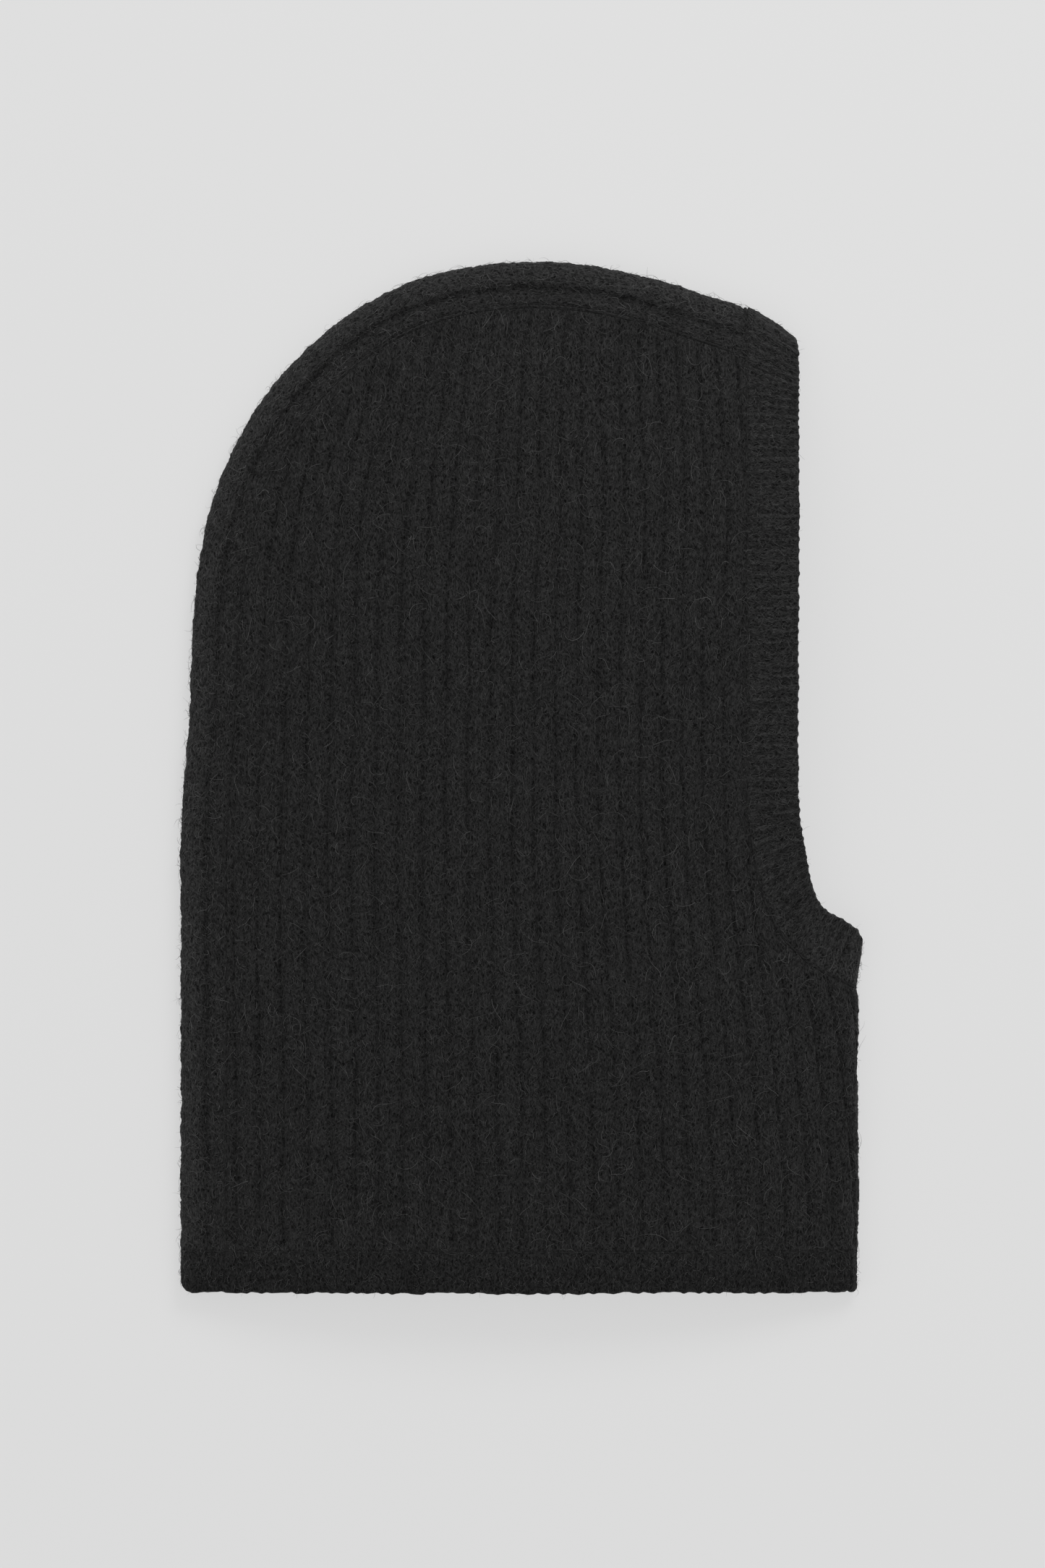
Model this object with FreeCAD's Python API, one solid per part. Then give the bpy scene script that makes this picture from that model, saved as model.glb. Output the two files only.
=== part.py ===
"""A ribbed wool balaclava, laid flat on its left side with its two layers softly apart.

+X is the side of the face opening, +Y the crown and +Z up from the surface it lies on.
The hood is two side panels, a centre strip folded along the back and over the crown,
a rib band round the face opening and a rib band round the hem, all joined by seams.
Each piece is cut from one lofted shell, so that neighbours meet face to face.
"""

import FreeCAD, Part
import math
import os

V = FreeCAD.Vector

# Driving dimensions, in millimetres
HEIGHT = 370.0  # hem to crown, laid flat
BACK_X = -122.6  # centre-back fold
FRONT_X = 120.1  # centre-front fold of the neck
FACE_X = 98.6  # edge of the face opening
CHIN_X = 122.6  # tip of the face band under the chin
CHIN_TIP_Y = -57.5
CHIN_END_Y = -75.0  # where the face band ends and the front neck fold begins
BACK_TOP_Y = -30.0  # the back is straight up to here
FOREHEAD = V(99.1, 157.7, 0)  # top corner of the face band
BAND_TOP = V(83.5, 167.6, 0)  # where the crown strip meets the face band

CLOTH = 3.6  # thickness of the brushed rib fabric
FOLD_H = 9.0  # outer height of a soft fold
LOFT = 21.0  # how much higher the middle of the upper layer stands than a fold
LOFT_REACH = 45.0  # distance from a fold over which the layer rises
HEM_LOFT = 0.72  # share of the loft left at the open hem
FACE_LOFT = 0.68  # share of the loft left at the open face edge

STRIP_W = 16.8  # half of the centre strip, from its fold to its seam
BAND_W = 18.3  # width of the face band
HEM_W = 15.0  # width of the hem band
SEAM_W = 1.0  # width of a linked seam
LABEL = V(20.0, 35.0, 0.6)  # folded care label
LABEL_AT = V(-100.0, -168.0, CLOTH)
STITCH = V(2.4, 0.8, 0.5)
STITCHES = 5

# Worked out
HEM_Y = -HEIGHT / 2
CROWN_Y = HEIGHT / 2
SEAM_X = FACE_X - BAND_W
MID_Z = FOLD_H / 2
SLOT = FOLD_H - 2 * CLOTH  # gap between the layers beside a fold
PAST = 20.0  # how far a cutting shape runs past the hood
SIDE_X = CHIN_X + PAST
TOP_Y = CROWN_Y + PAST
BOTTOM_Y = HEM_Y - PAST
TOP_Z = FOLD_H + LOFT + PAST
ACROSS, ALONG = 25, 37  # points of the height grid

# The crown, from the straight back to the face band
CROWN = [
    V(BACK_X, BACK_TOP_Y, 0),
    V(-119.6, 24, 0),
    V(-117.2, 68, 0),
    V(-108.9, 106, 0),
    V(-84, 147.5, 0),
    V(-45, 176, 0),
    V(-4, CROWN_Y, 0),
    V(44.5, 180, 0),
    BAND_TOP,
]
# The face edge, from where it leaves its straight run to the tip under the chin
FACE_CURVE = [
    V(FACE_X, 10, 0),
    V(99.3, -13, 0),
    V(102.3, -32, 0),
    V(108.2, -46.4, 0),
    V(117.3, -52.0, 0),
    V(CHIN_X, CHIN_TIP_Y, 0),
]
# The seam of the face band, from its straight run to the front neck fold
SEAM_CURVE = [
    V(SEAM_X, -4, 0),
    V(82.6, -26, 0),
    V(87.6, -46, 0),
    V(97.0, -61, 0),
    V(108.5, -69.5, 0),
    V(FRONT_X, CHIN_END_Y, 0),
]


def spline(points, start=None, end=None):
    """A curve through the points, with its end directions where they are given."""
    curve = Part.BSplineCurve()
    if start and end:
        curve.interpolate(Points=points, InitialTangent=start, FinalTangent=end)
    else:
        curve.interpolate(points)
    return curve


def sampled(curve, count):
    """Points evenly spaced in the curve's parameter."""
    first, last = curve.FirstParameter, curve.LastParameter
    return [curve.value(first + (last - first) * i / count) for i in range(count + 1)]


def inset(curve, distance, count=24):
    """The curve moved sideways: to its right where the distance is positive."""
    first, last = curve.FirstParameter, curve.LastParameter
    moved = []
    for i in range(count + 1):
        u = first + (last - first) * i / count
        along = curve.tangent(u)[0]
        moved.append(curve.value(u) + V(along.y, -along.x, 0) * distance)
    return spline(moved)


def line(a, b):
    return Part.makeLine(a, b)


def ends(curve):
    return curve.value(curve.FirstParameter), curve.value(curve.LastParameter)


def prism(edges, low=0.0, high=TOP_Z):
    """A solid column over the closed outline that the edges make."""
    wire = Part.Wire(Part.__sortEdges__(edges))
    column = Part.Face(wire).extrude(V(0, 0, high - low))
    column.translate(V(0, 0, low))
    return column


def column_box(x0, x1, y0, y1, z0=0.0, z1=TOP_Z):
    return Part.makeBox(x1 - x0, y1 - y0, z1 - z0, V(x0, y0, z0))


UP = V(0, 1, 0)
RIGHT_DOWN = V(BAND_TOP.x - 44.5, BAND_TOP.y - 180, 0).normalize()
crown = spline(CROWN, UP, RIGHT_DOWN)
face_curve = spline(FACE_CURVE, V(0, -1, 0), V(0.35, -1, 0))
seam_curve = spline(SEAM_CURVE, V(0, -1, 0), V(1, -0.45, 0))
chin_tip = V(CHIN_X, CHIN_TIP_Y, 0)
chin_end = V(FRONT_X, CHIN_END_Y, 0)


def fold_points():
    """Points along the closed folds: back, crown, forehead, chin and front neck."""
    runs = [
        (V(BACK_X, HEM_Y, 0), V(BACK_X, BACK_TOP_Y, 0)),
        (BAND_TOP, FOREHEAD),
        (chin_tip, chin_end),
        (chin_end, V(FRONT_X, HEM_Y, 0)),
    ]
    points = sampled(crown, 160)
    for a, b in runs:
        steps = max(4, int((b - a).Length / 3))
        points += [a + (b - a) * (i / steps) for i in range(steps + 1)]
    return points


def smooth(x, low, high):
    t = min(1.0, max(0.0, (x - low) / (high - low)))
    return t * t * (3 - 2 * t)


def loft(x, y, folds):
    """Height of the upper layer's outer surface over the point (x, y)."""
    near = min(math.hypot(x - p.x, y - p.y) for p in folds)
    rise = 1 - math.exp(-((near / LOFT_REACH) ** 1.5))
    at_hem = HEM_LOFT + (1 - HEM_LOFT) * smooth(y, HEM_Y, HEM_Y + 130)
    at_face = 1 - (1 - FACE_LOFT) * smooth(x, 10, FACE_X) * smooth(y, -90, -40)
    return FOLD_H + LOFT * rise * at_hem * at_face


def under(drop):
    """Everything below the upper layer's outer surface moved inwards by drop."""
    folds = fold_points()
    grid = []
    for i in range(ACROSS):
        x = -SIDE_X + 2 * SIDE_X * i / (ACROSS - 1)
        row = []
        for j in range(ALONG):
            y = BOTTOM_Y + (TOP_Y - BOTTOM_Y) * j / (ALONG - 1)
            z = loft(x, y, folds)
            slope_x = (loft(x + 1, y, folds) - loft(x - 1, y, folds)) / 2
            slope_y = (loft(x, y + 1, folds) - loft(x, y - 1, folds)) / 2
            steep = math.sqrt(1 + slope_x**2 + slope_y**2)
            row.append(V(x, y, z - drop * steep))
        grid.append(row)
    surface = Part.BSplineSurface()
    surface.interpolate(grid)
    return surface.toShape().extrude(V(0, 0, -TOP_Z))


def outline():
    """The hood's outer edge, all round."""
    back_hem = V(BACK_X, HEM_Y, 0)
    front_hem = V(FRONT_X, HEM_Y, 0)
    return [
        line(back_hem, CROWN[0]),
        crown.toShape(),
        line(BAND_TOP, FOREHEAD),
        line(FOREHEAD, FACE_CURVE[0]),
        face_curve.toShape(),
        line(chin_tip, chin_end),
        line(chin_end, front_hem),
        line(front_hem, back_hem),
    ]


def hollow_outline():
    """Inside of the folds, running out past the open hem and the open face edge."""
    inner = inset(crown, CLOTH)
    start, end = ends(inner)
    front = FRONT_X - CLOTH
    slope = (chin_tip - chin_end).normalize()
    chin_inner = V(front, CHIN_END_Y, 0)
    chin_out = chin_inner + slope * ((0 - CHIN_END_Y) / slope.y)
    forehead_run = (FOREHEAD - BAND_TOP).normalize()
    forehead_out = end + forehead_run * ((SIDE_X - end.x) / forehead_run.x)
    corners = [
        end,
        forehead_out,
        V(SIDE_X, chin_out.y, 0),
        chin_out,
        chin_inner,
        V(front, BOTTOM_Y, 0),
        V(start.x, BOTTOM_Y, 0),
        start,
    ]
    edges = [inner.toShape()]
    edges += [line(a, b) for a, b in zip(corners, corners[1:])]
    return edges


def lofted_shell():
    """Both layers and the folds between them, as one closed shell open at hem and face."""
    outer = prism(outline()).common(under(0.0))
    hollow = prism(hollow_outline(), low=CLOTH).common(under(CLOTH))
    return outer.cut(hollow)


def inside_strip(width):
    """A column over everything further than width from the back and crown fold."""
    inner = inset(crown, width)
    start, end = ends(inner)
    corners = [
        end,
        V(SIDE_X, end.y, 0),
        V(SIDE_X, BOTTOM_Y, 0),
        V(start.x, BOTTOM_Y, 0),
        start,
    ]
    edges = [inner.toShape()]
    edges += [line(a, b) for a, b in zip(corners, corners[1:])]
    return prism(edges)


def beyond_band_seam(shift):
    """A column over the face band's side of its seam, moved towards the face by shift."""
    edge = inset(seam_curve, -shift)
    start, end = ends(edge)
    out = V(SIDE_X, end.y + (end.x - SIDE_X) * 0.45, 0)
    corners = [
        end,
        out,
        V(SIDE_X, TOP_Y, 0),
        V(start.x, TOP_Y, 0),
        start,
    ]
    edges = [edge.toShape()]
    edges += [line(a, b) for a, b in zip(corners, corners[1:])]
    return prism(edges)


def below(y):
    """A column over everything between the hem side and y."""
    return column_box(-SIDE_X, SIDE_X, BOTTOM_Y, y)


def layer(z0, z1, y0=BOTTOM_Y, y1=TOP_Y):
    return column_box(-SIDE_X, SIDE_X, y0, y1, z0, z1)


UPPER = layer(MID_Z, TOP_Z)
LOWER = layer(-1.0, MID_Z)
SEAM_SLOT = layer(CLOTH, CLOTH + SLOT)
ABOVE_SLOT = layer(CLOTH + SLOT, TOP_Z)
UNDER_SLOT = layer(-1.0, CLOTH)


def care_label():
    return Part.makeBox(LABEL.x, LABEL.y, LABEL.z, LABEL_AT)


def label_stitches():
    """Short bars of thread across the foot of the label."""
    pitch = LABEL.x / STITCHES
    bars = []
    for i in range(STITCHES):
        x = LABEL_AT.x + pitch * (i + 0.5) - STITCH.x / 2
        at = V(x, LABEL_AT.y + 1.5, LABEL_AT.z + LABEL.z)
        bars.append(Part.makeBox(STITCH.x, STITCH.y, STITCH.z, at))
    return Part.makeCompound(bars)


def pieces():
    shell = lofted_shell()
    hem_top = HEM_Y + HEM_W
    hem_seam_top = hem_top + SEAM_W
    upper_body = shell.cut(below(hem_seam_top))

    band_zone = beyond_band_seam(SEAM_W / 2)
    band_and_seam = beyond_band_seam(-SEAM_W / 2)
    ring = upper_body.common(band_zone)
    chin_join = layer(CLOTH, CLOTH + SLOT, y1=0.0)

    rest = upper_body.cut(band_and_seam)
    past_strip = inside_strip(STRIP_W)
    past_strip_edge = inside_strip(STRIP_W - SEAM_W)
    strip_seams = rest.common(past_strip_edge).cut(past_strip)
    sides = rest.common(past_strip)

    return {
        "right_side_panel": sides.common(ABOVE_SLOT),
        "left_side_panel": sides.common(UNDER_SLOT),
        "front_neck_seam": sides.common(SEAM_SLOT),
        "crown_back_strip": rest.cut(past_strip_edge),
        "crown_seam_right": strip_seams.common(UPPER),
        "crown_seam_left": strip_seams.common(LOWER),
        "face_band": ring.cut(chin_join),
        "face_band_join_seam": ring.common(chin_join),
        "face_band_seam": upper_body.common(band_and_seam).cut(band_zone),
        "hem_band": shell.common(below(hem_top)),
        "hem_linking_seam": shell.common(below(hem_seam_top)).cut(below(hem_top)),
        "care_label": care_label(),
        "label_tack_stitches": label_stitches(),
    }


os.makedirs("parts", exist_ok=True)
for name, shape in pieces().items():
    shape.exportStep(f"parts/{name}.step")
    box = shape.BoundBox
    print(
        f"{name}: {len(shape.Solids)} solid(s), valid {shape.isValid()},"
        f" {shape.Volume / 1000:.1f} cm3,"
        f" x {box.XMin:.1f}..{box.XMax:.1f} y {box.YMin:.1f}..{box.YMax:.1f}"
        f" z {box.ZMin:.1f}..{box.ZMax:.1f}"
    )
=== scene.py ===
"""A brushed wool rib-knit balaclava, laid flat on its left side with its layers softly apart.

Lengths are in millimetres in the frame's axes until a mesh is made, which is in metres.
Each piece of cloth is a closed shell: a base surface from the hood's outline and loft, moved
along its normals by ribs, wales and stitches. Loose fibres lie on top as fine tapered tubes.
"""

import math

import bpy
import numpy as np
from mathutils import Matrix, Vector


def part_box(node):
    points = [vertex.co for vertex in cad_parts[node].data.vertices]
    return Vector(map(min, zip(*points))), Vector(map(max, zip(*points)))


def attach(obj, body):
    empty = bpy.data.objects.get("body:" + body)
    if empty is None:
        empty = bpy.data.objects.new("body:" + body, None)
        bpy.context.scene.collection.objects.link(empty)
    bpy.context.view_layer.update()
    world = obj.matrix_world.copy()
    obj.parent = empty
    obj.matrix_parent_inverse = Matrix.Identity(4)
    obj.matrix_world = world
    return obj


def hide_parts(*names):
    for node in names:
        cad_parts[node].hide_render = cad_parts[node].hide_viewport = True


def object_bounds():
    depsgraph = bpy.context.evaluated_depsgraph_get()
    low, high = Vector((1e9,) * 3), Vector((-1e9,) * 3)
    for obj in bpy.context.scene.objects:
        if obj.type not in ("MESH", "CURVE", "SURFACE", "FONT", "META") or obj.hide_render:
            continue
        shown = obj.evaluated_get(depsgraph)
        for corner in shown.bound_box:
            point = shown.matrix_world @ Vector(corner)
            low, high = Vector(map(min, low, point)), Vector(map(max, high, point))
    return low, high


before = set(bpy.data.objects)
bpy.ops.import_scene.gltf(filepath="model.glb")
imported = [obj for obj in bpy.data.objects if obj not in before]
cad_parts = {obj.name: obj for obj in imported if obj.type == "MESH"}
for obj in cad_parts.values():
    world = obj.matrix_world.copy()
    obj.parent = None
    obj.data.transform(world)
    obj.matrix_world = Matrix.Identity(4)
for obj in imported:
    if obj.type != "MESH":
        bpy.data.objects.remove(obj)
cad_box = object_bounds()
MM = 0.001


def cad_limits(node):
    """The low and high corners of a CAD node, in millimetres."""
    low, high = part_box(node)
    return np.array(low) / MM, np.array(high) / MM


# The hood's outline, from the frame
hem_low, hem_high = cad_limits("hem_band")
neck_low, neck_high = cad_limits("front_neck_seam")
label_low, label_high = cad_limits("care_label")
BACK_X, FRONT_X = hem_low[0], hem_high[0]
HEM_Y, HEM_TOP_Y = hem_low[1], hem_high[1]
CROWN_Y = cad_limits("crown_back_strip")[1][1]
CHIN_X = cad_limits("face_band")[1][0]
CHIN_END_Y = -75.0  # where the band's join meets the front neck fold
CLOTH = neck_low[2]  # the seam fills the slot between two layers of cloth
FOLD_H = neck_low[2] + neck_high[2]
FOLD_R = FOLD_H / 2
MID_Z = FOLD_H / 2
QUARTER = math.pi / 2 * FOLD_R  # cloth round a quarter of a fold

# The same shape as the CAD piece outlines, in listed points
SEAM_X = 80.3  # the straight run of the face band's seam
FACE_X = 98.6  # the straight run of its free edge
BACK_TOP_Y = -30  # the back is straight up to here
TURN_Y = -4  # and the face band's seam is straight down to here
CHIN_TIP_Y = -57.5
FOREHEAD = (99.1, 157.7)
BAND_TOP = (83.5, 167.6)
CROWN = [
    (BACK_X, BACK_TOP_Y), (-119.6, 24), (-117.2, 68), (-108.9, 106), (-84, 147.5),
    (-45, 176), (-4, CROWN_Y), (44.5, 180), BAND_TOP,
]
FACE_CURVE = [
    (FACE_X, 10), (99.3, -13), (102.3, -32), (108.2, -46.4), (117.3, -52), (CHIN_X, CHIN_TIP_Y),
]
SEAM_CURVE = [
    (SEAM_X, TURN_Y), (82.6, -26), (87.6, -46), (97, -61), (108.5, -69.5),
    (FRONT_X, CHIN_END_Y),
]
STRIP_W, SEAM_W, BAND_W = 16.8, 1.0, 18.3
FOREHEAD_OUT = (0.51, 0.86)  # the way the band's fold faces at the forehead
CHIN_OUT = (0.99, -0.16)  # the way its join faces at the chin
CROWN_FROM, CROWN_TO = 135, 172  # heights between which the crown seam comes to show

# The loft of the upper layer, and the cloth's rest on the floor
LOFT, LOFT_REACH = 21.0, 45.0  # height above a fold, and how far in from a fold it is reached
HEM_LOFT, FACE_LOFT = 0.72, 0.68  # shares of the loft at the hem and at the face opening
LYING_Z = 1.5  # cloth whose base is lower than this lies on the floor
INNER_GAP = 0.35  # the panels and the strip are this much thinner than in CAD
FLOOR_SINK = 0.75  # seam yarns of the lower layer are sunk this deep

# The knit
RIB = 8.55  # groove to groove on the side panels
WALES = 4  # wales in a rib
COURSE = 1.7  # height of one stitch
STRIP_RIB = 7.35
STRIP_GROOVE = 11.8  # cloth distance of the strip's one groove from its fold
BAND_RIB = 4.1
HEM_RIB = RIB / WALES
FIBRE_R = 0.05

# Sampling
PATH_STEP = 0.5  # mm between the samples of a path
CHUNK = 4000  # points compared with a path at a time, to spare memory
FIELD_REACH = (150, 212)  # half the sampled area, which holds the whole hood
NOISE_SIZE = 256  # noise repeats after this many of its features


# ------------------------ curves and fields

def hill(x, width):
    """1 where x is 0, falling smoothly to 0 at about twice the width."""
    return np.exp(-((x / width) ** 2))


def smooth(x, low, high):
    """0 up to low, 1 from high on, and a soft step between them."""
    t = np.clip((x - low) / (high - low), 0, 1)
    return t * t * (3 - 2 * t)


def pressed(relief, z, sink=0.35):
    """The relief, flattened where cloth at height z lies on the floor."""
    return np.where(z < LYING_Z, np.minimum(relief * 0.5 - sink, -0.05), relief)


def spline(points, start, end):
    """A smooth curve through the points with the given end directions, as even samples."""
    p = np.array(points, float)
    h = np.linalg.norm(np.diff(p, axis=0), axis=1)
    n = len(p)
    a, b = np.eye(n), np.zeros((n, 2))
    b[0] = np.array(start) / np.linalg.norm(start)
    b[-1] = np.array(end) / np.linalg.norm(end)
    for i in range(1, n - 1):
        a[i, i - 1 : i + 2] = h[i], 2 * (h[i - 1] + h[i]), h[i - 1]
        b[i] = 3 * (h[i] * (p[i] - p[i - 1]) / h[i - 1] + h[i - 1] * (p[i + 1] - p[i]) / h[i])
    m = np.linalg.solve(a, b)
    runs = []
    for i in range(n - 1):
        u = np.linspace(0, 1, 60, endpoint=i == n - 2)[:, None]
        runs.append(
            (2 * u**3 - 3 * u**2 + 1) * p[i] + (u**3 - 2 * u**2 + u) * h[i] * m[i]
            + (3 * u**2 - 2 * u**3) * p[i + 1] + (u**3 - u**2) * h[i] * m[i + 1]
        )
    return even(np.concatenate(runs), PATH_STEP)


def even(points, step):
    """The same polyline with points an even distance apart."""
    points = np.asarray(points, float)
    s = np.concatenate([[0], np.linalg.norm(np.diff(points, axis=0), axis=1).cumsum()])
    count = max(2, int(round(s[-1] / step)) + 1)
    at = np.linspace(0, s[-1], count)
    return np.stack([np.interp(at, s, points[:, k]) for k in (0, 1)], axis=1)


class Path:
    """A curve in the plane with even samples, its length and its right-hand normals."""

    def __init__(self, *parts):
        joined = np.concatenate([np.asarray(q, float) for q in parts])
        keep = np.concatenate([[True], np.linalg.norm(np.diff(joined, axis=0), axis=1) > 1e-6])
        self.p = even(joined[keep], PATH_STEP)
        along = np.gradient(self.p, axis=0)
        self.t = along / np.linalg.norm(along, axis=1)[:, None]
        self.n = np.stack([self.t[:, 1], -self.t[:, 0]], axis=1)
        self.s = np.linspace(0, np.linalg.norm(np.diff(self.p, axis=0), axis=1).sum(), len(self.p))
        self.length = self.s[-1]

    def at(self, s, values=None):
        """The curve's points, or other values kept for them, at lengths s along it."""
        values = self.p if values is None else values
        return np.stack([np.interp(s, self.s, values[:, k]) for k in (0, 1)], axis=-1)

    def side(self, x, y):
        """Distance of each point to the right of the curve, negative to its left."""
        out = np.empty(x.size)
        flat = np.stack([x.ravel(), y.ravel()], axis=1)
        for i in range(0, len(flat), CHUNK):
            q = flat[i : i + CHUNK]
            gap = ((q[:, None] - self.p[None]) ** 2).sum(2)
            k = gap.argmin(1)
            out[i : i + CHUNK] = ((q - self.p[k]) * self.n[k]).sum(1)
        return out.reshape(x.shape)


# The paths run on past the hood, so that distances from them hold right up to its corners
BELOW_HEM, PAST_FOREHEAD = 20, 30
crown_line = spline(CROWN, (0, 1), (39, -12.4))
BACK = Path(
    [(BACK_X, HEM_Y - BELOW_HEM)],
    crown_line,
    [(FOREHEAD[0] + PAST_FOREHEAD, FOREHEAD[1] - 19)],
)
SEAM = Path(
    [(SEAM_X, CROWN_Y + 10)],
    spline(SEAM_CURVE, (0, -1), (1, -0.45)),
    [(FRONT_X + 20, CHIN_END_Y - 9)],
)
EDGE = Path([FOREHEAD], spline(FACE_CURVE, (0, -1), (0.35, -1)))


def fold_points():
    """Points all along the folds: up the back, over the crown, and at the chin and neck."""
    runs = [
        [(BACK_X, HEM_Y), (BACK_X, BACK_TOP_Y)], crown_line, [BAND_TOP, FOREHEAD],
        [(CHIN_X, CHIN_TIP_Y), (FRONT_X, CHIN_END_Y)], [(FRONT_X, CHIN_END_Y), (FRONT_X, HEM_Y)],
    ]
    return np.concatenate([even(r, 2.0) for r in runs])


class Field:
    """A function of the plane, sampled once on a 1 mm grid and read back between samples."""

    def __init__(self, make):
        self.x0, self.y0 = [-float(reach) for reach in FIELD_REACH]
        x, y = [np.arange(2 * reach + 1) - float(reach) for reach in FIELD_REACH]
        self.v = make(*np.meshgrid(x, y, indexing="ij"))

    def __call__(self, x, y):
        i = np.clip(np.asarray(x) - self.x0, 0, self.v.shape[0] - 1.001)
        j = np.clip(np.asarray(y) - self.y0, 0, self.v.shape[1] - 1.001)
        a, b = i.astype(int), j.astype(int)
        u, w = i - a, j - b
        low = self.v[a, b] * (1 - w) + self.v[a, b + 1] * w
        high = self.v[a + 1, b] * (1 - w) + self.v[a + 1, b + 1] * w
        return low * (1 - u) + high * u


def make_loft(x, y):
    """How far the upper layer stands above a flat fold, less at the openings."""
    folds = fold_points()
    near = np.empty(x.size)
    flat = np.stack([x.ravel(), y.ravel()], axis=1)
    for i in range(0, len(flat), CHUNK):
        gap = ((flat[i : i + CHUNK, None] - folds[None]) ** 2).sum(2)
        near[i : i + CHUNK] = np.sqrt(gap.min(1))
    near = near.reshape(x.shape)
    rise = 1 - np.exp(-((near / LOFT_REACH) ** 1.5))
    at_hem = HEM_LOFT + (1 - HEM_LOFT) * smooth(y, HEM_Y, HEM_Y + 130)
    at_face = 1 - (1 - FACE_LOFT) * smooth(x, 10, FACE_X) * smooth(y, -90, -40)
    return LOFT * rise * at_hem * at_face


loft = Field(make_loft)  # height above a fold
from_back = Field(BACK.side)  # distance inwards from the back and the crown
from_seam = Field(SEAM.side)  # distance inwards from the face band's seam


def noise(x, y, size_x, size_y, seed):
    """Smooth noise from -1 to 1 with features of about the given sizes."""
    rng = np.random.default_rng(seed)
    table = rng.uniform(-1, 1, (NOISE_SIZE, NOISE_SIZE))
    u, v = np.asarray(x) / size_x + 1000.37, np.asarray(y) / size_y + 1000.71
    i, j = np.floor(u).astype(int), np.floor(v).astype(int)
    u, v = u - i, v - j
    u, v = u * u * (3 - 2 * u), v * v * (3 - 2 * v)
    i, j, i_next, j_next = [k % NOISE_SIZE for k in (i, j, i + 1, j + 1)]
    a, b = table[i, j], table[i_next, j]
    c, d = table[i, j_next], table[i_next, j_next]
    return (a * (1 - u) + b * u) * (1 - v) + (c * (1 - u) + d * u) * v


# ------------------------ knit relief

def brushed(x, y, seed):
    """Raised nap: short streaks along the wales over a felted, uneven ground."""
    return (
        0.18 * noise(x, y, 1.2, 2.6, seed) + 0.17 * noise(x, y, 0.8, 1.1, seed + 1)
        + 0.18 * noise(x, y, 0.6, 0.7, seed + 2) + 0.17 * noise(x, y, 7, 14, seed + 3)
    )


def stitches(wale, y, depth):
    """Columns of V stitches: a notch between wales and slanted legs along each."""
    across = np.abs(wale - np.floor(wale) - 0.5)
    legs = np.cos(2 * math.pi * (y / COURSE - across))
    return depth * (0.45 * legs * (1 - 1.6 * across) - hill(0.5 - across, 0.16))


def wale_line(wale):
    """1 at the line between two wales, 0 in the middle of a wale."""
    return hill(0.5 - np.abs(wale - np.floor(wale) - 0.5), 0.17)


def uneven(line, y, seed):
    """How open a groove is along its length: a chain of deep loops with closed stretches."""
    long_way = 0.80 + 0.20 * noise(line * 3.1, y, 1, 19, seed)
    short_way = 0.65 + 0.50 * noise(line * 5.3, y, 1, 3.4, seed + 1)
    return np.clip(long_way * short_way * 1.35, 0.03, 1.2)


def wide_rib(rib, y, seed):
    """Relief and painted shade, 0 pale to 1 dark, of the wide rib; its grooves are at whole
    numbers.
    """
    wander = 0.05 * noise(rib * 0.7, y, 1, 30, seed + 7) + 0.03 * noise(rib, y, 0.8, 6, seed + 8)
    rib = rib + wander
    off = np.abs(rib - np.round(rib)) * RIB
    groove = hill(off, 1.05) * uneven(np.round(rib), y, seed + 9)
    crown = 0.42 * np.sin(np.clip(off / (RIB / 2), 0, 1) * math.pi / 2)
    wale_shade_strength = np.clip(0.6 + 0.5 * noise(rib * WALES, y, 1, 5, seed + 5), 0, 1)
    line = wale_line(rib * WALES) * wale_shade_strength
    # painted shade: darker in the grooves, broadly round them and on the lines between wales
    shade = np.maximum(np.maximum(groove, 0.5 * line), 0.58 * hill(off, 1.8))
    return crown - 0.8 * groove + stitches(rib * WALES, y, 0.24), shade


def fine_rib(along, across, pitch, seed, depth, lined=0.42):
    """Relief and groove of a 1x1 rib, one raised wale and one sunk, that repeats along a band; the
    groove also serves as painted shade.
    """
    phase = along / pitch + 0.05 * noise(along, across, 9, 6, seed + 4)
    sunk = 0.5 - 0.5 * np.cos(2 * math.pi * phase)
    open_ = np.clip(0.75 + 0.5 * noise(along, across, 6, 5, seed + 6), 0.1, 1)
    beside = np.abs(np.mod(2 * phase, 1) - 0.5)  # 0 at the line between two wales
    line = hill(beside, 0.2) * np.clip(0.75 + 0.4 * noise(along, across, 3, 4, seed + 7), 0, 1)
    groove = np.clip(0.74 * sunk**1.6 * open_ + lined * line, 0, 1)
    return -depth * groove + stitches(phase * 2 + 0.5, across, 0.15), groove


# ------------------------ meshes

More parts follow.
